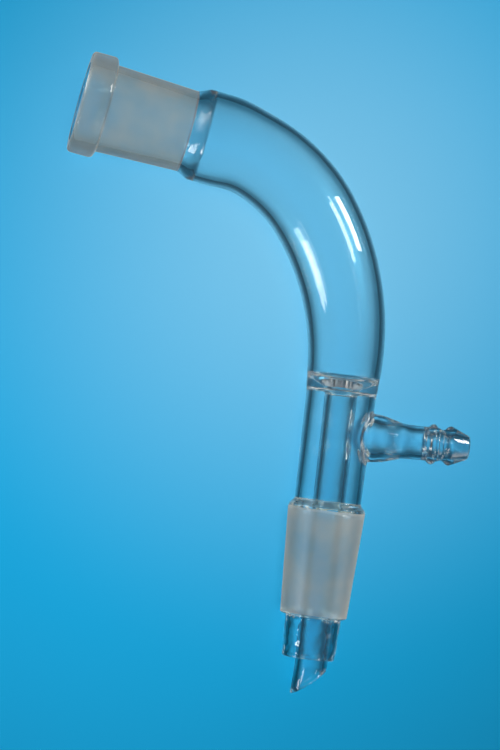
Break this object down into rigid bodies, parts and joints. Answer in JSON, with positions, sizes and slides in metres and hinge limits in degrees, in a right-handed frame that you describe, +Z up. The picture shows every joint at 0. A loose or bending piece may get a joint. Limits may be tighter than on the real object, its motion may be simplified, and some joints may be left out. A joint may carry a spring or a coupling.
{
  "type": "vacuum take off adapter",
  "caption": "Bent glass adapter with a collared ground socket, a ring seal over an inner drip tube, a barbed vacuum side arm and a ground cone with a slanted drip tip.",
  "frame": {"origin": "centre of the ground cone's big end", "axes": "-Y out along the ground cone, +X towards the hose barb, +Z up from the bench that the adapter lies on"},
  "size_m": [0.1062, 0.1479, 0.0251],
  "materials": {
    "borosilicate_glass": "clear fire-polished glass, with satin ground faces on the cone and inside the socket"
  },
  "bodies": {
    "root": {"take_off_adapter": "borosilicate_glass"}
  },
  "joints": []
}
